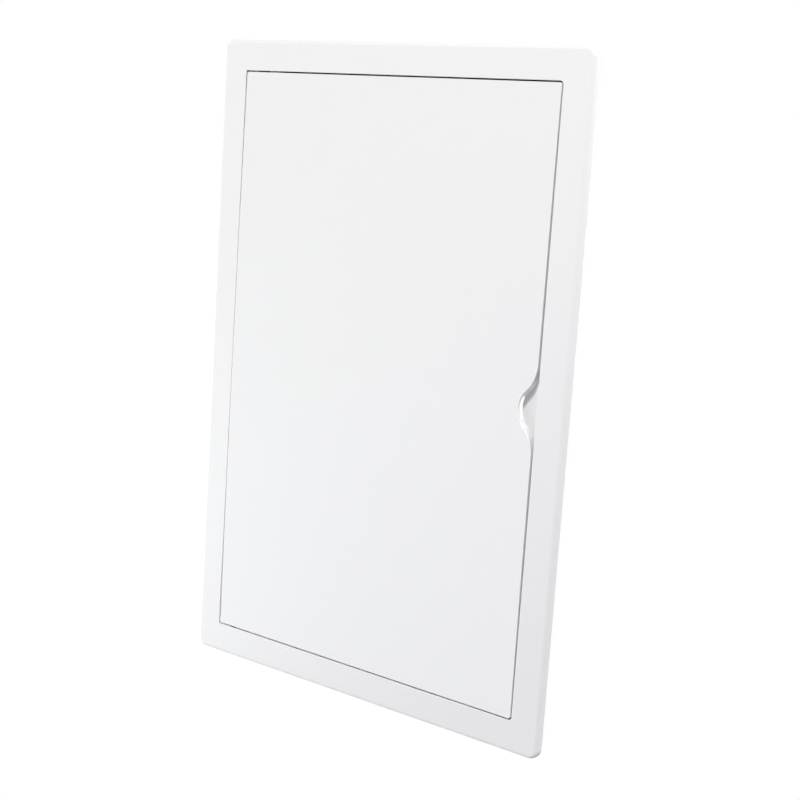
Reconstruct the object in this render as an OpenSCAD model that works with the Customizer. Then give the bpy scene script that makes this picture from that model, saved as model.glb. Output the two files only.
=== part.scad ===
// Recessed access panel: a flush hinged door in a one-piece flanged frame.
// X runs to the right, Y into the wall and Z up. The origin is the centre of the panel on the
// wall's surface, so the flange stands in front of it and the collar goes behind it.

/* [Frame] */
// Width of the collar that goes into the wall
collar_w = 196; // [150:1:400]
// Height of the collar that goes into the wall
collar_h = 296; // [240:1:600]
// How far the collar reaches into the wall
collar_depth = 15; // [13:0.5:40]
// Wall thickness of the collar
collar_t = 2; // [1.6:0.1:3]
// Radius of the collar's outer corners
collar_corner = 4; // [3:0.5:8]
// How far the flange laps over the wall outside the collar
flange_lap = 11; // [9:0.5:30]
// Distance from the wall to the flange's front face
flange_proud = 4.2; // [4:0.1:6]
// Thickness of the flange plate
flange_t = 2.2; // [1.8:0.1:2.6]
// Thickness of the skirt round the flange
skirt_t = 1.8; // [1.4:0.1:2.4]
// Radius of the flange's outer corners
flange_corner = 5; // [3.5:0.5:8]
// Radius of the rounding along the flange's front edge
flange_round = 2; // [0.8:0.1:2.4]
// How far the flange overhangs the collar's inner wall
lip_w = 2.1; // [1.6:0.1:4]
// Thickness of the stiffening ribs behind the flange
flange_rib_t = 1.4; // [1:0.1:2]
// Largest spacing of the stiffening ribs behind the flange
flange_rib_pitch = 40; // [25:1:80]

/* [Ledge] */
// Width of the ledge that the door closes on
ledge_w = 10; // [9:0.5:14]
// Thickness of the ledge
ledge_t = 2; // [1.6:0.1:3]
// Radius of the clear opening's corners
ledge_corner = 3; // [1:0.5:8]
// Thickness of the foam seal, closed
seal_t = 1; // [0.8:0.05:3]
// Width of the foam seal
seal_w = 5; // [4:0.5:6.5]
// How far the gussets stop short of the collar's back edge
gusset_from_back = 2; // [1:0.5:6]
// Thickness of the gussets
gusset_t = 1.6; // [1.2:0.1:2.4]
// Largest spacing of the gussets
gusset_pitch = 46; // [30:1:90]

/* [Door] */
// Gap between the door and the flange
door_gap = 0.8; // [0.7:0.05:1.2]
// Thickness of the door's skin
skin_t = 2; // [1.6:0.1:2.6]
// Depth of the door's edge
edge_depth = 4.4; // [3.4:0.1:5]
// Wall thickness of the rim behind the door's edge
rim_t = 1.8; // [1.4:0.1:2.4]
// Radius of the door's corners
door_corner = 1.2; // [0.6:0.1:3]
// Height of the stiffening ribs behind the skin
rib_h = 4.2; // [2.5:0.1:5]
// Thickness of the stiffening ribs
rib_t = 1.4; // [1:0.1:2]
// Largest spacing of the stiffening ribs
rib_pitch = 50; // [30:1:120]

/* [Finger notch] */
// How far the notch cuts into the door's edge
notch_depth = 8.8; // [7:0.1:10]
// Radius of the notch's middle
notch_r = 11.5; // [10.2:0.1:16]
// Radius that runs the notch out into the door's edge
notch_fillet = 18; // [6:0.5:24]
// Thickness of the lip that a fingertip hooks under
grip_lip_t = 1.4; // [1:0.1:1.6]
// Length of the opening in the rim behind the lip
grip_len = 10.6; // [8:0.1:16]
// How far the pocket behind the lip reaches inboard of the notch
grip_reach = 6; // [3:0.5:9]
// How far the ledge's tab laps inboard of the notch
tab_lap = 1.5; // [0.6:0.1:3]

/* [Hinge] */
// Diameter of the hinge pins
pin_d = 2.5; // [2:0.1:3]
// Reach of a hinge pin beyond the door's edge
pin_reach = 4.3; // [3.5:0.1:4.5]
// Length of the lower pin inside the door
pin_hold = 10; // [8:0.5:20]
// How far the drawn upper pin stands back inside the door's edge
pin_free = 0.7; // [0.3:0.1:1.5]
// Length of the upper pin's tail below its guide lug
pin_tail = 3.4; // [1:0.1:8]
// Wall thickness round a pin in the door's lugs
lug_wall = 1.9; // [1.4:0.1:2.4]
// Length of the door's corner lugs
lug_len = 7; // [5:0.5:9]
// Length of the guide lug that the spring stands on
guide_len = 4; // [3:0.5:6]
// Length of the thumb slide along the pin
slide_len = 6; // [5:0.5:8]
// Width of the thumb slide
slide_w = 8; // [7:0.5:10]
// Height of the thumb slide's fin
fin_h = 2.2; // [1:0.1:3]
// Wall thickness of a hinge bush
bush_t = 1; // [0.8:0.1:1.4]
// Width of the bush's flange beyond its barrel
bush_flange_w = 0.5; // [0.3:0.1:0.8]
// Wire diameter of the pin's spring
spring_wire = 0.4; // [0.3:0.05:0.5]
// Working turns of the pin's spring
spring_turns = 6; // [4:1:8]

/* [Catches] */
// Distance from each catch to the collar's inner end
catch_from_end = 51; // [34:1:80]
// Length of a catch's pole plates
pole_len = 24; // [18:1:30]
// Thickness of a pole plate
pole_t = 1.2; // [0.8:0.1:2]
// Depth of a pole plate
pole_depth = 9; // [7:0.5:12]
// Thickness of the magnet between the pole plates
magnet_t = 5; // [3:0.5:6]
// How far the magnet sits back from the pole plates' tips
magnet_set_back = 0.8; // [0.4:0.1:1.6]
// Wall thickness of the catch housing
housing_t = 1.6; // [1.2:0.1:2.4]
// Thickness of the catch housing's screw ear
ear_t = 2.4; // [2:0.1:3]
// Distance between the ear's screws
ear_screws = 16; // [12:1:20]
// Thickness of a strike plate
strike_t = 1.2; // [1:0.1:1.6]
// Diameter of the small screws' threads
screw_d = 2.2; // [2:0.1:2.5]
// Diameter of the small screws' heads
screw_head_d = 4.2; // [3.8:0.1:4.6]

/* [Wall fixing] */
// Diameter of the fixing holes through the collar
fix_hole_d = 4.2; // [3:0.1:5.5]
// Distance from the side fixing holes to the collar's inner ends
fix_from_end = 86; // [76:1:130]
// Distance from the end fixing holes to the collar's inner sides
fix_from_side = 36; // [20:1:65]
// Distance from the fixing holes to the collar's back edge
fix_from_back = 5.5; // [4:0.5:6]

/* [Hidden] */
$fn = 48;

run_clear = 0.05;    // radius clearance of a pin in its bore, and end play of the door
seat_clear = 0.02;   // clearance of a pressed or seated piece
part_clear = 0.1;    // clearance between faces that close on each other
swing_clear = 0.3;   // what the hinge is set inboard past the least that clears the lip
swing_room = 0.5;    // room round the swinging edge, cut from the lip and kept by the ledges
join = 0.3;          // how far a rib or lug is rooted in the wall that carries it
arc_overlap = 0.004; // how far two arcs that meet smoothly overlap
past = 1;            // how far a cut runs past a face

// Widths and heights seen from the front
inner_w = collar_w - 2 * collar_t;
inner_h = collar_h - 2 * collar_t;
flange_w = collar_w + 2 * flange_lap;
flange_h = collar_h + 2 * flange_lap;
open_w = inner_w - 2 * lip_w;
open_h = inner_h - 2 * lip_w;
door_w = open_w - 2 * door_gap;
door_h = open_h - 2 * door_gap;
clear_w = inner_w - 2 * ledge_w;
clear_h = inner_h - 2 * ledge_w;

// Depths, where the front looks towards -Y
face_y = -flange_proud;
lip_y = face_y + flange_t;
skin_y = face_y + skin_t;
rim_y = face_y + edge_depth;
ledge_y = rim_y + seal_t + run_clear;
ledge_back = ledge_y + ledge_t;

// Hinge axis: just behind the skin, and far enough in for the door's corner to clear the lip
pin_r = pin_d / 2;
lug_r = pin_r + lug_wall;
pivot_y = skin_y + 0.4 + pin_r;
pivot_depth = pivot_y - face_y;
pivot_inset = (pow(pivot_depth, 2) - pow(door_gap, 2)) / (2 * door_gap) + swing_clear;
pivot_x = pivot_inset - door_w / 2;
swing_r = norm([pivot_inset, pivot_depth]) + swing_room;
deep_y = pivot_y + swing_r + part_clear;
deep_back = deep_y + ledge_t;
riser_x = pivot_x + swing_r + part_clear;
bush_r = pin_r + run_clear + bush_t;
boss_wall = 1.6;

// The sprung pin, from the bush down to its tail
pin_travel = pin_reach + pin_free;
pin_top = door_h / 2 + pin_reach;
slide_top = door_h / 2 - lug_len - part_clear;
slide_bottom = slide_top - slide_len;
spring_solid = spring_wire * (spring_turns + 3);
guide_top = slide_bottom - pin_travel - spring_solid;
spring_r = pin_r + 0.35 + spring_wire / 2;

// Finger notch in the door's edge
notch_x = door_w / 2 + notch_r - notch_depth;
notch_fillet_x = door_w / 2 - notch_fillet;
notch_half = sqrt(pow(notch_r + notch_fillet, 2) - pow(notch_x - notch_fillet_x, 2));
seal_from = notch_half + 2;

// Catches, which stand inboard of the ledge on the notch side
catch_z = inner_h / 2 - catch_from_end;
catch_w = magnet_t + 2 * pole_t + 2 * housing_t;
catch_len = pole_len + 2 * housing_t;
catch_x = clear_w / 2 - catch_w / 2 - 0.5;
pole_y = ledge_back - part_clear;
housing_back = pole_y + pole_depth + housing_t;
ear_x = (clear_w + ledge_w) / 2;
ear_w = ledge_w - 2;
strike_y = pole_y - part_clear - strike_t;
strike_screws = pole_len + 2 * screw_head_d;
strike_len = strike_screws + screw_head_d + 2;
screw_r = screw_d / 2;
screw_head_r = screw_head_d / 2;
screw_head_h = 1.4;

// Stiffening ribs: a deep grid inside the ledge, run out shallow to the rim
rib_x0 = riser_x - 1;
rib_x1 = catch_x - catch_w / 2 - 5;
rib_z1 = clear_h / 2 - 5;

// Fixing holes through the collar
fix_y = collar_depth - fix_from_back;
fix_z = inner_h / 2 - fix_from_end;
fix_x = inner_w / 2 - fix_from_side;

// A plate or a cut between two depths, from an outline drawn as seen from the front
module slab(y0, y1) {
  translate([0, y1, 0])
    rotate([90, 0, 0])
      linear_extrude(y1 - y0)
        children();
}

// A rectangle with round corners, about its centre
module round_rect(w, h, r) {
  square([w - 2 * r, h], center = true);
  square([w, h - 2 * r], center = true);
  for (x = [-1, 1], z = [-1, 1])
    translate([x * (w / 2 - r), z * (h / 2 - r)])
      circle(r);
}

// A rectangle between two corners
module box_2d(x0, z0, x1, z1) {
  translate([x0, z0])
    square([x1 - x0, z1 - z0]);
}

// A round bar about the hinge axis
module hinge_bar(z0, z1, r) {
  translate([pivot_x, pivot_y, z0])
    cylinder(h = z1 - z0, r = r);
}

// A round bar that runs along Y
module cross_bar(x, z, y0, y1, r) {
  translate([x, y1, z])
    rotate([90, 0, 0])
      cylinder(h = y1 - y0, r = r);
}

// A piece of the upper half, or its like in the lower half
module at_end(upper) {
  if (upper)
    children();
  else
    mirror([0, 0, 1])
      children();
}

module both_ends() {
  at_end(true)
    children();
  at_end(false)
    children();
}

// Even places over a length about its middle, no further apart than the pitch
function places(length, pitch) =
  let (gaps = max(1, ceil(length / pitch)))
  [for (i = [0:gaps]) length * (i / gaps - 0.5)];

// Section through the flange's outer edge: plate, skirt and rounded front edge
module edge_section() {
  core = flange_corner - flange_round;
  difference() {
    union() {
      square([flange_corner, flange_proud - flange_round]);
      square([core, flange_proud]);
      translate([core, flange_proud - flange_round])
        circle(flange_round);
    }
    translate([-past, -past])
      square([flange_corner - skirt_t + past, flange_proud - flange_t + past]);
  }
}

// The flange's edge, swept along its four sides and round its corners
module flange_edge() {
  rotate([90, 0, 0])
    for (side = [0:3]) {
      across = side % 2 == 0 ? flange_w : flange_h;
      along = side % 2 == 0 ? flange_h : flange_w;
      rotate([0, 0, 90 * side])
        translate([across / 2 - flange_corner, along / 2 - flange_corner, 0]) {
          rotate_extrude(angle = 90)
            edge_section();
          rotate([90, 0, 0])
            linear_extrude(along - 2 * flange_corner)
              edge_section();
        }
    }
}

module flange_plate() {
  slab(face_y, lip_y)
    difference() {
      square([flange_w - 2 * flange_corner, flange_h - 2 * flange_corner], center = true);
      round_rect(open_w, open_h, door_corner + door_gap);
    }
}

// Ribs that cross the hollow of the flange and bear on the wall
module flange_ribs() {
  rib_len = flange_lap - skirt_t + collar_t / 2 + join;
  side_x = inner_w / 2 + collar_t / 2;
  side_z = inner_h / 2 + collar_t / 2;
  slab(lip_y - join, 0)
    for (s = [-1, 1]) {
      for (z = places(inner_h - flange_rib_pitch / 2, flange_rib_pitch))
        translate([s * (side_x + rib_len / 2), z])
          square([rib_len, flange_rib_t], center = true);
      for (x = places(inner_w - flange_rib_pitch / 2, flange_rib_pitch))
        translate([x, s * (side_z + rib_len / 2)])
          square([flange_rib_t, rib_len], center = true);
    }
}

module collar() {
  slab(lip_y - join, collar_depth)
    difference() {
      round_rect(collar_w, collar_h, collar_corner);
      round_rect(inner_w, inner_h, max(collar_corner - collar_t, 0.5));
    }
}

// The band between the collar and the clear opening, from one X to another
module ledge_band(x0, x1) {
  root_h = inner_h + collar_t;
  difference() {
    box_2d(x0, -root_h / 2, x1, root_h / 2);
    round_rect(clear_w, clear_h, ledge_corner);
  }
}

// The ledge, which steps back on the hinge side to let the door's edge swing in
module ledge() {
  root_x = (inner_w + collar_t) / 2;
  slab(ledge_y, ledge_back)
    ledge_band(riser_x, root_x);
  slab(deep_y, deep_back)
    ledge_band(-root_x, riser_x + ledge_t);
  both_ends()
    slab(ledge_back - join, deep_y + join)
      box_2d(riser_x, clear_h / 2, riser_x + ledge_t, (inner_h + collar_t) / 2);
}

// A gusset at the origin: it stands on the ledge's back and on a wall at +X
module gusset() {
  reach = ledge_w - 2;
  gusset_depth = collar_depth - ledge_back - gusset_from_back;
  toe = 1;
  translate([0, 0, -gusset_t / 2])
    linear_extrude(gusset_t)
      polygon([[-reach, -join], [collar_t / 2, -join], [collar_t / 2, gusset_depth],
               [-toe, gusset_depth], [-reach, toe]]);
}

module gussets() {
  side_z = [for (z = places(inner_h - gusset_pitch / 2, gusset_pitch))
    if (abs(abs(z) - fix_z) > fix_hole_d + gusset_t && abs(abs(z) - catch_z) > catch_len / 2 + gusset_t) z];
  end_x = [for (x = places(inner_w - gusset_pitch / 2, gusset_pitch))
    if (x > riser_x + 2 * ledge_t && abs(abs(x) - fix_x) > fix_hole_d + gusset_t) x];
  for (z = side_z)
    translate([inner_w / 2, ledge_back, z])
      gusset();
  for (x = end_x)
    both_ends()
      translate([x, ledge_back, inner_h / 2])
        rotate([0, -90, 0])
          gusset();
}

// The tab that the ledge sends out under the finger notch, as a floor for it
module notch_tab() {
  slab(ledge_y, ledge_back)
    intersection() {
      notch_outline(tab_lap);
      box_2d(0, -notch_half, (inner_w + collar_t) / 2, notch_half);
    }
}

// Blocks that carry the hinge bushes, between the door's opening and the collar
module hinge_bosses() {
  boss_r = bush_r + boss_wall;
  both_ends()
    slab(lip_y - join, pivot_y + boss_r)
      box_2d(pivot_x - boss_r, open_h / 2, pivot_x + boss_r, (inner_h + collar_t) / 2);
}

// Holes for the wall's screws; the hinge side has none, because the door's edge swings there
module fixing_holes() {
  r = fix_hole_d / 2;
  for (z = [-fix_z, fix_z])
    translate([inner_w / 2 - past, fix_y, z])
      rotate([0, 90, 0])
        cylinder(h = collar_t + 2 * past, r = r);
  for (x = [-fix_x, fix_x])
    translate([x, fix_y, -collar_h / 2 - past])
      cylinder(h = collar_h + 2 * past, r = r);
}

module frame() {
  color([0.95, 0.95, 0.96])
    difference() {
      union() {
        flange_edge();
        flange_plate();
        flange_ribs();
        collar();
        ledge();
        gussets();
        notch_tab();
        hinge_bosses();
      }
      hinge_bar(-open_h / 2, open_h / 2, swing_r);
      both_ends()
        hinge_bar(open_h / 2 - past, collar_h / 2 + join, bush_r + seat_clear);
      both_ends()
        for (z = [-1, 1])
          cross_bar(ear_x, catch_z + z * ear_screws / 2, ledge_y - past, ledge_back + past,
                    screw_r + seat_clear);
      fixing_holes();
    }
}

// Foam strips on the ledge, under the door's rim
module seal(x0, z0, x1, z1) {
  color([0.3, 0.3, 0.32])
    slab(ledge_y - seal_t, ledge_y)
      box_2d(x0, z0, x1, z1);
}

module seal_end(upper) {
  at_end(upper)
    seal(riser_x, open_h / 2 - seal_w, open_w / 2, open_h / 2);
}

module seal_side(upper) {
  at_end(upper)
    seal(open_w / 2 - seal_w, seal_from, open_w / 2, open_h / 2 - seal_w);
}

module hinge_bush(upper) {
  door_end = door_h / 2 + run_clear;
  color([0.12, 0.12, 0.13])
    at_end(upper)
      difference() {
        union() {
          hinge_bar(door_end, open_h / 2, bush_r + bush_flange_w);
          hinge_bar(open_h / 2, collar_h / 2, bush_r);
        }
        hinge_bar(door_end - past, collar_h / 2 + past, pin_r + run_clear);
      }
}

// A shape for one catch, moved to the upper or the lower catch
module at_catch(upper) {
  translate([catch_x, 0, upper ? catch_z : -catch_z])
    children();
}

module catch_housing(upper) {
  ear_reach = ear_x - catch_x;
  color([0.85, 0.85, 0.86])
    at_catch(upper)
      difference() {
        union() {
          slab(ledge_back, housing_back)
            round_rect(catch_w, catch_len, 1);
          slab(ledge_back, ledge_back + ear_t) {
            box_2d(0, -ear_screws / 2, ear_reach + ear_w / 2, ear_screws / 2);
            for (z = [-1, 1])
              translate([ear_reach, z * ear_screws / 2])
                circle(ear_w / 2);
          }
        }
        slab(ledge_back - past, pole_y + pole_depth + seat_clear)
          square([magnet_t + 2 * pole_t + 2 * seat_clear, pole_len + 2 * seat_clear], center = true);
        for (z = [-1, 1])
          cross_bar(ear_reach, z * ear_screws / 2, ledge_back - past, ledge_back + ear_t + past,
                    screw_r + part_clear);
      }
}

module catch_magnet(upper) {
  color([0.2, 0.2, 0.21])
    at_catch(upper)
      slab(pole_y + magnet_set_back, pole_y + pole_depth)
        square([magnet_t, pole_len], center = true);
}

module catch_poles(upper) {
  color([0.75, 0.75, 0.78])
    at_catch(upper)
      for (x = [-1, 1])
        translate([x * (magnet_t + pole_t) / 2 - pole_t / 2, pole_y + pole_depth / 2, 0])
          rotate([90, 0, 90])
            linear_extrude(pole_t)
              round_rect(pole_depth, pole_len, 0.8);
}

// A small screw along Y, its head's face at the origin and its thread towards -Y
module screw(length, countersunk) {
  slot = 0.5;
  difference() {
    union() {
      if (countersunk)
        rotate([90, 0, 0])
          cylinder(h = screw_head_r - screw_r, r1 = screw_head_r, r2 = screw_r);
      else
        rotate([90, 0, 0])
          cylinder(h = screw_head_h, r = screw_head_r);
      rotate([90, 0, 0])
        cylinder(h = length, r = screw_r);
    }
    for (turn = [0, 90])
      rotate([0, turn, 0])
        cube([screw_head_r * 1.2, 1.2, slot], center = true);
  }
}

module catch_screws(upper) {
  color([0.8, 0.8, 0.82])
    at_catch(upper)
      for (z = [-1, 1])
        translate([ear_x - catch_x, ledge_back + ear_t + screw_head_h, z * ear_screws / 2])
          screw(screw_head_h + ear_t + ledge_t - 2 * part_clear, false);
}

module strike_plate(upper) {
  color([0.75, 0.75, 0.78])
    at_catch(upper)
      difference() {
        slab(strike_y, strike_y + strike_t)
          round_rect(catch_w, strike_len, 2);
        for (z = [-1, 1])
          translate([0, strike_y + strike_t, z * strike_screws / 2]) {
            rotate([90, 0, 0])
              cylinder(h = screw_head_r - screw_r, r1 = screw_head_r + seat_clear,
                       r2 = screw_r + seat_clear);
            rotate([90, 0, 0])
              cylinder(h = strike_t + past, r = screw_r + seat_clear);
          }
      }
}

module strike_screws(upper) {
  color([0.8, 0.8, 0.82])
    at_catch(upper)
      for (z = [-1, 1])
        translate([0, strike_y + strike_t, z * strike_screws / 2])
          screw(strike_y + strike_t - skin_y - 2 * part_clear, true);
}

// Outline of the finger notch, grown into the door
module notch_outline(grow) {
  out_x = notch_x + notch_r;
  difference() {
    polygon([[out_x, notch_half], [notch_fillet_x, notch_half], [notch_x, 0],
             [notch_fillet_x, -notch_half], [out_x, -notch_half]]);
    for (z = [-1, 1])
      translate([notch_fillet_x, z * notch_half])
        circle(notch_fillet - grow);
  }
  translate([notch_x, 0])
    circle(notch_r + grow + arc_overlap);
}

// Outline of the door, shrunk all round
module door_outline(shrink) {
  difference() {
    round_rect(door_w - 2 * shrink, door_h - 2 * shrink, max(door_corner - shrink, 0.3));
    notch_outline(shrink);
  }
}

// Skin and rim as one tray
module door_tray() {
  difference() {
    slab(face_y, rim_y)
      door_outline(0);
    slab(skin_y, rim_y + past)
      door_outline(rim_t);
  }
}

module door_ribs() {
  mid_x = (rib_x0 + rib_x1) / 2;
  rib_xs = [for (x = places(rib_x1 - rib_x0, rib_pitch)) mid_x + x];
  rib_zs = places(2 * rib_z1, rib_pitch);
  slab(skin_y - join, skin_y + rib_h) {
    for (x = rib_xs)
      box_2d(x - rib_t / 2, -rib_z1 - rib_t / 2, x + rib_t / 2, rib_z1 + rib_t / 2);
    for (z = rib_zs)
      box_2d(rib_x0, z - rib_t / 2, rib_x1, z + rib_t / 2);
  }
  slab(skin_y - join, min(rim_y, skin_y + rib_h))
    intersection() {
      door_outline(rim_t / 2);
      union() {
        for (x = rib_xs)
          box_2d(x - rib_t / 2, -door_h / 2, x + rib_t / 2, door_h / 2);
        for (z = rib_zs)
          box_2d(mid_x, z - rib_t / 2, door_w / 2, z + rib_t / 2);
      }
    }
}

// A lug round the hinge axis, rooted in the skin
module hinge_lug(z0, z1) {
  hinge_bar(z0, z1, lug_r);
  translate([pivot_x - lug_r, skin_y - join, z0])
    cube([2 * lug_r, pivot_y - skin_y + join, z1 - z0]);
}

module door_lugs() {
  intersection() {
    union() {
      both_ends()
        hinge_lug(door_h / 2 - lug_len, door_h / 2);
      hinge_lug(guide_top - guide_len, guide_top);
    }
    translate([-door_w / 2, skin_y - join, -door_h / 2])
      cube([door_w, collar_depth, door_h]);
  }
}

// Hollow posts that carry the strike plates
module strike_posts() {
  for (upper = [true, false])
    at_catch(upper)
      slab(skin_y - join, strike_y) {
        difference() {
          round_rect(catch_w, strike_len, 2);
          round_rect(catch_w - 2 * rib_t, strike_len - 2 * rib_t, 0.8);
        }
        for (z = [-1, 1])
          translate([0, z * strike_screws / 2])
            square([catch_w - rib_t, screw_head_d], center = true);
      }
}

// Pocket behind the notch's middle, where the rim stops and a fingertip hooks under the skin
module grip_pocket() {
  slab(face_y + grip_lip_t, rim_y + past)
    box_2d(door_w / 2 - notch_depth - grip_reach, -grip_len / 2, notch_x, grip_len / 2);
}

module door() {
  color([0.95, 0.95, 0.96])
    difference() {
      union() {
        door_tray();
        door_ribs();
        door_lugs();
        strike_posts();
      }
      grip_pocket();
      hinge_bar(guide_top - guide_len - past, door_h / 2 + past, pin_r + run_clear);
      hinge_bar(-door_h / 2 - past, pin_hold - door_h / 2, pin_r + seat_clear);
      hinge_bar(guide_top, slide_bottom, spring_r + spring_wire / 2 + 2 * part_clear);
      for (upper = [true, false], z = [-1, 1])
        at_catch(upper)
          cross_bar(0, z * strike_screws / 2, skin_y + part_clear, strike_y + past,
                    screw_r + seat_clear);
    }
}

// A steel pin on the hinge axis, with both ends chamfered
module pin(z0, z1) {
  lead = 0.4;
  color([0.8, 0.8, 0.82]) {
    hinge_bar(z0 + lead, z1 - lead, pin_r);
    translate([pivot_x, pivot_y, z1 - lead])
      cylinder(h = lead, r1 = pin_r, r2 = pin_r - lead);
    translate([pivot_x, pivot_y, z0])
      cylinder(h = lead, r1 = pin_r - lead, r2 = pin_r);
  }
}

module hinge_pin_lower() {
  pin(-pin_top, pin_hold - door_h / 2 - part_clear);
}

module hinge_pin_upper() {
  pin(guide_top - guide_len - pin_tail, pin_top);
}

// Thumb slide on the upper pin: a block that bears on the door's back, and a fin to push
module pin_slide() {
  y0 = skin_y + part_clear;
  y1 = pivot_y + pin_r + boss_wall;
  color([0.6, 0.61, 0.63])
    difference() {
      union() {
        translate([pivot_x, 0, slide_bottom])
          linear_extrude(slide_len)
            translate([0, (y0 + y1) / 2])
              round_rect(slide_w, y1 - y0, 0.8);
        for (z = [slide_bottom + 0.6, slide_top - 2.2])
          translate([pivot_x, 0, z])
            linear_extrude(1.6)
              translate([0, y1 - 1 + (fin_h + 1) / 2])
                round_rect(slide_w - 2, fin_h + 1, 0.8);
      }
      hinge_bar(slide_bottom - past, slide_top + past, pin_r + seat_clear);
    }
}

// Height of the spring's wire after a number of turns: close end turns and open working turns
function coil_z(turns) =
  let (
    close = spring_wire * 1.1,
    span = slide_bottom - guide_top - spring_wire - 2 * part_clear,
    open = (span - 2 * close) / spring_turns
  )
  turns < 1 ? close * turns :
  turns < spring_turns + 1 ? close + open * (turns - 1) :
  span - close * (spring_turns + 2 - turns);

// The spring's wire, as rings of points swept along the helix
module pin_spring() {
  sides = 6;
  steps = 14;
  rings = steps * (spring_turns + 2);
  z0 = guide_top + spring_wire / 2 + part_clear;
  points = [
    for (i = [0:rings], k = [0:sides - 1])
      let (
        around = 360 * i / steps,
        r = spring_r + spring_wire / 2 * cos(360 * k / sides),
        z = z0 + coil_z(i / steps) + spring_wire / 2 * sin(360 * k / sides)
      )
      [pivot_x + r * cos(around), pivot_y + r * sin(around), z]
  ];
  walls = [
    for (i = [0:rings - 1], k = [0:sides - 1])
      let (a = i * sides + k, b = i * sides + (k + 1) % sides)
      [a, b, b + sides, a + sides]
  ];
  first = [for (k = [0:sides - 1]) sides - 1 - k];
  last = [for (k = [0:sides - 1]) rings * sides + k];
  color([0.7, 0.7, 0.72])
    polyhedron(points, concat([first], walls, [last]));
}

frame();
seal_end(true);  // seal_top
seal_end(false);  // seal_bottom
seal_side(true);  // seal_side_upper
seal_side(false);  // seal_side_lower
hinge_bush(true);  // hinge_bush_upper
hinge_bush(false);  // hinge_bush_lower
catch_housing(true);  // catch_housing_upper
catch_housing(false);  // catch_housing_lower
catch_magnet(true);  // catch_magnet_upper
catch_magnet(false);  // catch_magnet_lower
catch_poles(true);  // catch_poles_upper
catch_poles(false);  // catch_poles_lower
catch_screws(true);  // catch_screws_upper
catch_screws(false);  // catch_screws_lower
door();
hinge_pin_lower();
strike_plate(true);  // strike_plate_upper
strike_plate(false);  // strike_plate_lower
strike_screws(true);  // strike_screws_upper
strike_screws(false);  // strike_screws_lower
pin_spring();
hinge_pin_upper();
pin_slide();
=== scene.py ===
import math
from contextlib import contextmanager

import bpy
from mathutils import Matrix, Vector, noise


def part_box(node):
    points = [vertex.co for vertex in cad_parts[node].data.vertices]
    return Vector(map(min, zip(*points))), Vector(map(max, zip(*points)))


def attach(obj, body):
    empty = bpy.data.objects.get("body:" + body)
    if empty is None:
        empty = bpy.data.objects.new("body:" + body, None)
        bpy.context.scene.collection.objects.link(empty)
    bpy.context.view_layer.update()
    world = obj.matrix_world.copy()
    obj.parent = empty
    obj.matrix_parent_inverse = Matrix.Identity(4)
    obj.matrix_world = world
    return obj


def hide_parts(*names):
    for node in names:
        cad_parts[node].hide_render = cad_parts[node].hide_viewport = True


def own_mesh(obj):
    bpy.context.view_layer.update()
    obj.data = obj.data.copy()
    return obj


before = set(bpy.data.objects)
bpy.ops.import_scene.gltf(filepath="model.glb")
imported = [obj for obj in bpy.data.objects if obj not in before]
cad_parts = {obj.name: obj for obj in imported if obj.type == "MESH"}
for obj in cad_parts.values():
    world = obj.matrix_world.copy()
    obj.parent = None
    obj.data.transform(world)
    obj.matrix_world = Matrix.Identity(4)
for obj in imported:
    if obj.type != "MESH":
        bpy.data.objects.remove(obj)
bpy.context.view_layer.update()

# Camera: a medium lens at the right of the panel and a little above its middle, turned and
# rolled as the photograph was taken.
scene = bpy.context.scene
lens = bpy.data.cameras.new("camera")
lens.lens = 69.865
lens.sensor_width = 36
lens.clip_start = 0.01
lens.clip_end = 20
camera = bpy.data.objects.new("camera", lens)
scene.collection.objects.link(camera)
scene.camera = camera
eye = (0.4609697, -0.5764906, 0.1123892)
forward = Vector((-0.6045873, 0.7798770, -0.1620684)).normalized()
right = forward.cross(Vector((-0.1523589, 0.0864849, 0.9845340))).normalized()
axes = Matrix((right, right.cross(forward), -forward)).transposed()
camera.matrix_world = Matrix.Translation(eye) @ axes.to_4x4()
scene.view_settings.view_transform = "Standard"


# Frame: one moulding in white satin plastic. Every edge has the small radius that a mould leaves,
# and shade is painted into the white, which turns a little darker towards the lower right corner.
class Wire:
    """A socket of a node tree; wires add, subtract and multiply like numbers."""

    def __init__(self, tree, socket):
        self.tree = tree
        self.socket = socket

    def node(self, kind, settings, values, output=0):
        """Add a node with its settings, and with values or wires in its sockets."""
        made = self.tree.nodes.new("ShaderNode" + kind)
        for name, value in settings.items():
            setattr(made, name, value)
        for name, value in values.items():
            if isinstance(value, Wire):
                self.tree.links.new(value.socket, made.inputs[name])
            else:
                made.inputs[name].default_value = value
        return Wire(self.tree, made.outputs[output])

    def maths(self, operation, first, second):
        return self.node("Math", {"operation": operation}, {0: first, 1: second})

    def __add__(self, other):
        return self.maths("ADD", self, other)

    def __radd__(self, other):
        return self.maths("ADD", other, self)

    def __sub__(self, other):
        return self.maths("SUBTRACT", self, other)

    def __rsub__(self, other):
        return self.maths("SUBTRACT", other, self)

    def __mul__(self, other):
        return self.maths("MULTIPLY", self, other)

    def __rmul__(self, other):
        return self.maths("MULTIPLY", other, self)

    def noise(self, scale, detail=2.0, stretch=(1, 1, 1)):
        place = self.node("Mapping", {}, {"Vector": self, "Scale": stretch})
        return self.node("TexNoise", {}, {"Vector": place, "Scale": scale, "Detail": detail})

    def blend(self, low, high):
        """A colour from low to high, by a wire that runs from 0 to 1."""
        return self.node("Mix", {"data_type": "RGBA"}, {0: self, 6: (*low, 1), 7: (*high, 1)}, 2)

    def between(self, low, high):
        """A smooth step from 0 at low to 1 at high."""
        settings = {"interpolation_type": "SMOOTHSTEP"}
        return self.node("MapRange", settings, {"Value": self, "From Min": low, "From Max": high})


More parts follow.
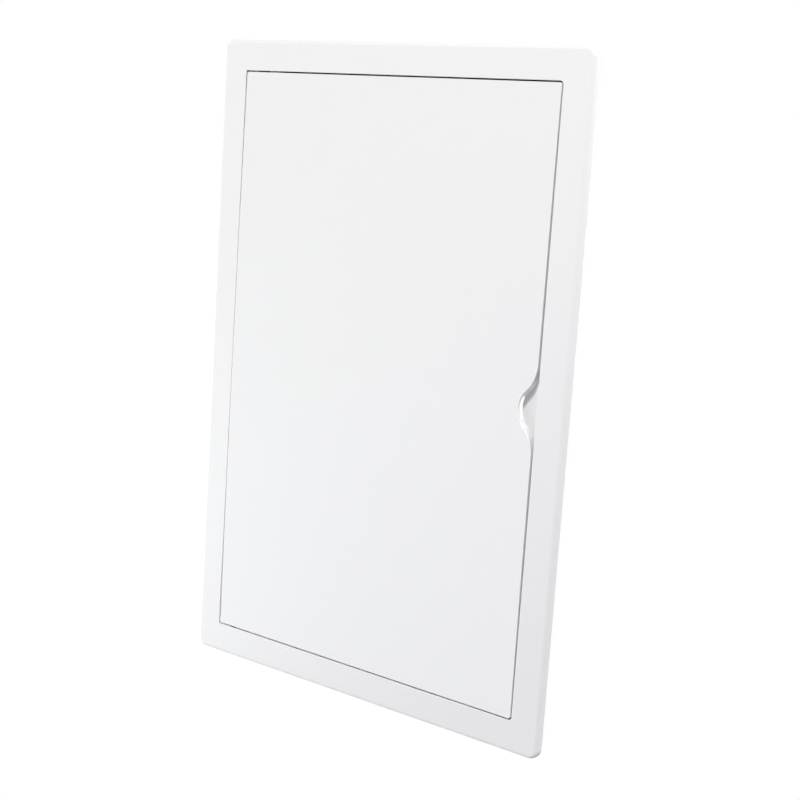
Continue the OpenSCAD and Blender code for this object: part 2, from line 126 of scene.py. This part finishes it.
def material(name, colour, roughness, metallic=0.0):
    """A material, its Principled surface, and a wire with the piece's own coordinates."""
    made = bpy.data.materials.new(name)
    made.use_nodes = True
    surface = made.node_tree.nodes["Principled BSDF"]
    surface.inputs["Base Color"].default_value = (*colour, 1)
    surface.inputs["Roughness"].default_value = roughness
    surface.inputs["Metallic"].default_value = metallic
    return made, surface, Wire(made.node_tree, None).node("TexCoord", {}, {}, 3)


def feed(surface, **wires):
    """Link wires to a surface's sockets, named with _ for a space."""
    for socket, wire in wires.items():
        wire.tree.links.new(wire.socket, surface.inputs[socket.replace("_", " ")])


def bump(height, strength, distance):
    return height.node("Bump", {}, {"Strength": strength, "Distance": distance, "Height": height})


def plastic(name, light, painted_shade_colour):
    """White satin moulded plastic, with shade painted in: the white darkens from the upper left
    towards the lower right, with a random mottle.
    """
    made, surface, place = material(name, light, 0.38)
    peel = place.noise(420.0, 1.0)
    cloud = place.noise(26.0, 2.0)
    to_lower_right = (0.5, 0, -0.5)
    slope = place.node("VectorMath", {"operation": "DOT_PRODUCT"}, {0: place, 1: to_lower_right}, 1)
    # Painted shade: the base colour darkens towards the lower right, where less light falls; the
    # cloud adds a random mottle.
    painted_shade_and_mottle = slope.between(-0.02, 0.12) + 0.16 * (cloud - 0.5)
    feed(surface, Base_Color=painted_shade_and_mottle.blend(light, painted_shade_colour),
         Roughness=0.34 + 0.05 * peel + 0.04 * cloud, Normal=bump(peel, 0.25, 0.00002))
    return made


def select_only(piece):
    bpy.ops.object.select_all(action="DESELECT")
    piece.select_set(True)
    bpy.context.view_layer.objects.active = piece


@contextmanager
def editing(piece):
    """Edit mode on one piece, with all of it selected."""
    select_only(piece)
    bpy.ops.object.mode_set(mode="EDIT")
    bpy.ops.mesh.select_all(action="SELECT")
    yield
    bpy.ops.object.mode_set(mode="OBJECT")


def merge():
    """In edit mode, join corners that lie within a thousandth of a millimetre."""
    bpy.ops.mesh.remove_doubles(threshold=1e-6)


def modify(piece, kind, **settings):
    """Put one modifier on a piece and apply it."""
    select_only(piece)
    modifier = piece.modifiers.new(kind.lower(), kind)
    for name, value in settings.items():
        setattr(modifier, name, value)
    bpy.ops.object.modifier_apply(modifier=modifier.name)


def from_cad(node, name):
    """A copy of a CAD node as a closed mesh with whole faces, for more work."""
    piece = bpy.data.objects.new(name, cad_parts[node].data.copy())
    scene.collection.objects.link(piece)
    with editing(piece):
        merge()
        bpy.ops.mesh.dissolve_limited(angle_limit=math.radians(0.5))
        bpy.ops.mesh.normals_make_consistent(inside=False)
    return piece


def soften(piece, width):
    """Round every sharp edge of a piece."""
    modify(piece, "BEVEL", width=width, segments=2, limit_method="ANGLE",
           angle_limit=math.radians(30), use_clamp_overlap=False, loop_slide=False)
    with editing(piece):
        merge()


def smooth(piece):
    """Shade curves smooth and keep flat faces flat."""
    select_only(piece)
    bpy.ops.object.shade_smooth_by_angle(angle=math.radians(40))
    modify(piece, "WEIGHTED_NORMAL", keep_sharp=True)


def fit(piece, body, made, node):
    """Give a finished piece its material and let it stand for a CAD node on a body."""
    piece.data.materials.clear()
    piece.data.materials.append(made)
    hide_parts(node)
    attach(piece, body)


# The frame's second colour is the painted shade of its lower right.
frame_white = plastic("frame_white", (0.912, 0.912, 0.917), (0.836, 0.834, 0.858))
moulding = from_cad("frame", "frame_moulding")
soften(moulding, 0.00025)
flange_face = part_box("frame")[0].y
for vertex in moulding.data.vertices:
    vertex.co.y = max(vertex.co.y, flange_face)
smooth(moulding)
fit(moulding, "frame", frame_white, "frame")


# Door: a tray of the same plastic, skin in front and rim and ribs behind, with the shallow round
# mark of an ejector pin of the mould in each ribbed field. The moulding has drawn a little as it
# cooled, so its sides bow to the left, and it hangs slightly high.
def turned(name, profile):
    """A solid turned about the Y axis from a profile of radii and heights."""
    mesh = bpy.data.meshes.new(name)
    mesh.from_pydata([(r, y, 0) for r, y in profile],
                     [(i, i + 1) for i in range(len(profile) - 1)], [])
    solid = bpy.data.objects.new(name, mesh)
    scene.collection.objects.link(solid)
    with editing(solid):
        bpy.ops.mesh.spin(steps=32, angle=2 * math.pi, center=(0, 0, 0), axis=(0, 1, 0))
        bpy.ops.mesh.select_all(action="SELECT")
        merge()
        bpy.ops.mesh.normals_make_consistent(inside=False)
    return solid


def cut(piece, cutter):
    """Take one closed solid out of another."""
    modify(piece, "BOOLEAN", operation="DIFFERENCE", object=cutter, solver="EXACT")


# The door's second colour is the painted shade of its lower right, a little bluer.
door_white = plastic("door_white", (0.902, 0.902, 0.908), (0.892, 0.893, 0.918))
leaf = from_cad("door", "door_leaf")
soften(leaf, 0.00016)
slice_h, slices_up = 0.0125, 11
with editing(leaf):
    for step in range(-slices_up, slices_up + 1):
        bpy.ops.mesh.select_all(action="SELECT")
        bpy.ops.mesh.bisect(plane_co=(0, 0, step * slice_h), plane_no=(0, 0, 1), threshold=1e-7)

skin_t = 0.002
ribs_left, ribs_right, ribs_top = -0.0762734, 0.0699, 0.131
fields_across, fields_up = 3, 6
field_w = (ribs_right - ribs_left) / fields_across
field_h = 2 * ribs_top / fields_up
ejector = turned("ejector_pin", [(0, 0.00005), (0.00295, 0.00005), (0.00265, -0.00005),
                                 (0.00235, -0.0002), (0.0022, -0.00025), (0, -0.00025)])
for across in range(fields_across):
    for up in range(fields_up):
        ejector.location = (ribs_left + (across + 0.5) * field_w,
                            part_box("door")[0].y + skin_t,
                            (up + 0.5) * field_h - ribs_top)
        cut(leaf, ejector)
bpy.data.objects.remove(ejector)

# Both sides stand to the left by bow at mid-height, and the hinge side's corners stand in.
bow, hinge_side_draw, hang = 0.00038, 0.00015, 0.00004
half_w = max(vertex.co.x for vertex in leaf.data.vertices)
half_h = max(vertex.co.z for vertex in leaf.data.vertices)
for vertex in leaf.data.vertices:
    draw = hinge_side_draw * (half_w - vertex.co.x) / (2 * half_w)
    vertex.co.x += draw - (bow + draw) * (1 - (vertex.co.z / half_h) ** 2)
    vertex.co.z += hang
smooth(leaf)
fit(leaf, "door", door_white, "door")

# Seals: four strips of dark closed-cell foam, stuck on the ledge with butt joints. The shut door
# holds them flat, and their cut faces stay a little uneven.
foam, surface, place = material("foam", (0.035, 0.035, 0.038), 0.92)
cells = place.noise(2600.0, 1.0)
feed(surface, Base_Color=cells.between(0.3, 0.7).blend((0.02, 0.02, 0.022), (0.06, 0.06, 0.064)),
     Normal=bump(cells, 0.6, 0.0001))
foam_slices, uneven, waves_per_metre = 40, 0.00004, 120
for node in ("seal_top", "seal_bottom", "seal_side_upper", "seal_side_lower"):
    low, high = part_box(node)
    size = high - low
    middle = (low + high) / 2
    bpy.ops.mesh.primitive_cube_add(size=1)
    strip = bpy.context.object
    strip.name = node + "_foam"
    with editing(strip):
        bpy.ops.transform.resize(value=size)
        bpy.ops.transform.translate(value=middle)
    modify(strip, "BEVEL", width=0.0002, segments=2, limit_method="ANGLE")
    along = (1, 0, 0) if size.x > size.z else (0, 0, 1)
    with editing(strip):
        for step in range(1, foam_slices):
            bpy.ops.mesh.select_all(action="SELECT")
            bpy.ops.mesh.bisect(plane_co=low + size * step / foam_slices, plane_no=along)
    for vertex in strip.data.vertices:
        sway = uneven * (1 + noise.noise(vertex.co * waves_per_metre))
        for axis in (0, 2):
            vertex.co[axis] -= math.copysign(sway, vertex.co[axis] - middle[axis])
        if vertex.co.y < middle.y:
            vertex.co.y += sway
    smooth(strip)
    fit(strip, "frame", foam, node)

# Hinge bushes: black flanged sleeves pressed into the frame above and below the door, one at
# each end of the hinge axis.
black, surface, place = material("black_plastic", (0.018, 0.018, 0.02), 0.42)
feed(surface, Roughness=0.36 + 0.14 * place.noise(300.0))
for node in ("hinge_bush_upper", "hinge_bush_lower"):
    bush = from_cad(node, node.replace("hinge_bush", "bush"))
    soften(bush, 0.0001)
    smooth(bush)
    fit(bush, "frame", black, node)

# Hinge pins: ground steel. The lower one is pressed into the door, and the upper one slides in
# it and carries the thumb slide.
pin_steel, surface, place = material("pin_steel", (0.60, 0.60, 0.62), 0.28, 1.0)
rings = place.noise(60.0, 3.0, (1, 1, 60))
feed(surface, Roughness=0.2 + 0.2 * rings)
for node, body in (("hinge_pin_lower", "door"), ("hinge_pin_upper", "release_pin")):
    pin = from_cad(node, node + "_steel")
    soften(pin, 0.00006)
    smooth(pin)
    fit(pin, body, pin_steel, node)

# Thumb slide: grey moulded plastic with two ridges for the thumb. It is fixed on the upper pin,
# and draws the pin out of its bush when it is pushed down.
grey, surface, place = material("grey_plastic", (0.33, 0.34, 0.36), 0.5)
grit = place.noise(1500.0, 2.0)
feed(surface, Roughness=0.42 + 0.16 * grit, Normal=bump(grit, 0.35, 0.00005))
slide = from_cad("pin_slide", "thumb_slide")
soften(slide, 0.0002)
smooth(slide)
fit(slide, "release_pin", grey, "pin_slide")

# Pin spring: drawn wire wound on the pin, with a close turn at each end and open turns between.
# The real spring is squeezed when the slide comes down; here it is wound at its free length.
wire_r, coil_r, open_turns, points_a_turn = 0.0002, 0.0018, 6, 32
axis_x, axis_y, guide_top = -0.0848734, -0.00055, 0.1214
first_wire, end_pitch, wound_h = guide_top + 0.0003, 0.00044, 0.008
winding = bpy.data.curves.new("winding", "CURVE")
winding.dimensions = "3D"
winding.bevel_depth = wire_r
winding.bevel_resolution = 3
winding.use_fill_caps = True
line = winding.splines.new("POLY")
line.points.add(points_a_turn * (open_turns + 2))
for index, point in enumerate(line.points):
    turn = index / points_a_turn
    if turn < 1:
        height = end_pitch * turn
    elif turn < open_turns + 1:
        height = end_pitch + (wound_h - 2 * end_pitch) / open_turns * (turn - 1)
    else:
        height = wound_h - end_pitch * (open_turns + 2 - turn)
    around = 2 * math.pi * turn
    point.co = (axis_x + coil_r * math.cos(around), axis_y + coil_r * math.sin(around),
                first_wire + height, 1)
coil = bpy.data.objects.new("spring_wire", winding)
scene.collection.objects.link(coil)
select_only(coil)
bpy.ops.object.convert(target="MESH")
spring = bpy.context.object
with editing(spring):
    merge()
smooth(spring)
spring_steel, surface, place = material("spring_steel", (0.50, 0.50, 0.52), 0.32, 1.0)
feed(surface, Roughness=0.26 + 0.14 * place.noise(900.0))
fit(spring, "door", spring_steel, "pin_spring")
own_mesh(spring)

# Catches: a light grey plastic housing on the back of the ledge holds a ferrite block between
# two zinc-plated pole plates. A zinc-plated strike plate on the door's post meets them.
zinc, surface, place = material("plated_steel", (0.62, 0.62, 0.64), 0.34, 1.0)
spangle = place.noise(500.0, 3.0)
scratches = place.noise(120.0, 4.0, (12, 12, 1))
feed(surface, Base_Color=spangle.blend((0.28, 0.28, 0.29), (0.46, 0.46, 0.48)),
     Roughness=0.3 + 0.2 * spangle + 0.12 * scratches)
housing, surface, place = material("housing_plastic", (0.70, 0.70, 0.72), 0.5)
grit = place.noise(1100.0, 2.0)
feed(surface, Roughness=0.42 + 0.16 * grit, Normal=bump(grit, 0.3, 0.00005))
ferrite, surface, place = material("ferrite", (0.05, 0.05, 0.055), 0.7)
grains = place.noise(1800.0, 3.0)
feed(surface, Base_Color=grains.blend((0.03, 0.03, 0.033), (0.085, 0.085, 0.09)),
     Roughness=0.55 + 0.25 * grains, Normal=bump(grains, 0.5, 0.00006))
for end in ("upper", "lower"):
    for node, name, made, slot, body, edge in (
            ("catch_housing_", "housing_", housing, "housing_plastic", "frame", 0.0002),
            ("catch_magnet_", "magnet_", ferrite, "ferrite", "frame", 0.00025),
            ("catch_poles_", "pole_plates_", zinc, "plated_steel", "frame", 0.00012),
            ("strike_plate_", "strike_", zinc, "plated_steel", "door", 0.0001)):
        piece = from_cad(node + end, name + end)
        soften(piece, edge)
        smooth(piece)
        fit(piece, body, made, node + end)

# Small screws: zinc plated with a cross recess, pan heads on the housings' ears and countersunk
# heads in the strike plates. Each was driven home at its own angle.
head_r, shank_r, point_r, dome_h = 0.0021, 0.0011, 0.0006, 0.0007
recess_w, recess_h, recess_t, recess_floor = 0.003, 0.0018, 0.0006, 0.4
dome = [(head_r * math.sin(math.radians(angle)), dome_h * (math.cos(math.radians(angle)) - 1))
        for angle in range(0, 91, 15)]
pan_head = dome + [(head_r, -0.0013), (0.002, -0.0014), (shank_r, -0.0014)]
flat_head = [(0, 0), (0.00195, 0), (head_r, -0.00006), (shank_r, -0.001)]


def screws(node, body, apart, head):
    """Two screws on one line, which fill the box of their CAD node."""
    low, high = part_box(node)
    middle = (low + high) / 2
    tip = low.y - high.y
    pair = []
    for side in (-1, 1):
        screw = turned(node + "_turned", head + [(shank_r, tip + point_r), (point_r, tip), (0, tip)])
        for turn in (0, 90):
            bpy.ops.mesh.primitive_cube_add(size=1)
            cutter = bpy.context.object
            with editing(cutter):
                bpy.ops.transform.resize(value=(recess_w, recess_h, recess_t))
                bpy.ops.transform.rotate(value=math.radians(turn), orient_axis="Y",
                                         center_override=(0, 0, 0))
            for vertex in cutter.data.vertices:
                if vertex.co.y < 0:
                    vertex.co.x *= recess_floor
                    vertex.co.z *= recess_floor
            cut(screw, cutter)
            bpy.data.objects.remove(cutter)
        driven = side * 17 + middle.z * 900
        with editing(screw):
            merge()
            bpy.ops.transform.rotate(value=math.radians(driven), orient_axis="Y",
                                     center_override=(0, 0, 0))
            bpy.ops.transform.translate(value=(middle.x, high.y, middle.z + side * apart / 2))
        pair.append(screw)
    select_only(pair[0])
    pair[1].select_set(True)
    bpy.ops.object.join()
    pair[0].name = node + "_pair"
    smooth(pair[0])
    fit(pair[0], body, zinc, node)


for end in ("upper", "lower"):
    screws("catch_screws_" + end, "frame", 0.016, pan_head)
    screws("strike_screws_" + end, "door", 0.0324, flat_head)

# Stage: a pale floor below the panel, a white surround for what looks past it, and the lamps
# of a bright, soft studio.
bpy.ops.mesh.primitive_circle_add(vertices=64, radius=0.8, fill_type="NGON",
                                  location=(0, 0, -0.75))
floor = bpy.context.object
floor.name = "floor"
pale, surface, place = material("floor", (0.90, 0.90, 0.90), 0.9)
reach = place.node("VectorMath", {"operation": "LENGTH"}, {0: place}, 1)
feed(surface, Alpha=1.0 - reach.between(0.3, 0.79))
floor.data.materials.append(pale)

world = bpy.data.worlds.new("studio")
scene.world = world
world.use_nodes = True
world.node_tree.nodes.clear()
rays = world.node_tree.nodes.new("ShaderNodeLightPath")
seen = Wire(world.node_tree, rays.outputs["Is Camera Ray"])
seen = seen + Wire(world.node_tree, rays.outputs["Is Glossy Ray"])
seen = seen + Wire(world.node_tree, rays.outputs["Is Transmission Ray"])
white = seen.node("Background", {}, {"Color": (1, 1, 1, 1), "Strength": 1.0})
sky = seen.node("MixShader", {}, {0: seen.node("Clamp", {}, {"Value": seen}), 2: white})
output = world.node_tree.nodes.new("ShaderNodeOutputWorld")
world.node_tree.links.new(sky.socket, output.inputs["Surface"])


def softbox(name, stand, size, power, colour):
    """A square lamp that looks at the panel's middle from where it stands."""
    light = bpy.data.lights.new(name, "AREA")
    light.shape = "SQUARE"
    light.size = size
    light.energy = power
    light.color = colour
    lamp = bpy.data.objects.new(name, light)
    scene.collection.objects.link(lamp)
    lamp.location = stand
    lamp.rotation_euler = (-Vector(stand)).to_track_quat("-Z", "Y").to_euler()


softbox("key", (0.833, -2.061, 2.302), 0.45, 78.7, (1, 0.985, 0.955))
softbox("left_fill", (-1.997, -0.535, -0.752), 0.9, 38.1, (0.953, 0.996, 1))
softbox("right_fill", (1.628, -0.436, 1.414), 0.9, 21.2, (0.921, 0.958, 1))
softbox("low_fill", (0, -2.263, -2.263), 0.9, 24.2, (0.917, 0.906, 1))
softbox("side_fill", (1.5, 1.8, 0.9), 0.9, 37.4, (1, 0.994, 0.954))
softbox("back_fill", (-0.3, 2.4, 0.25), 0.9, 8.5, (1, 1, 1))
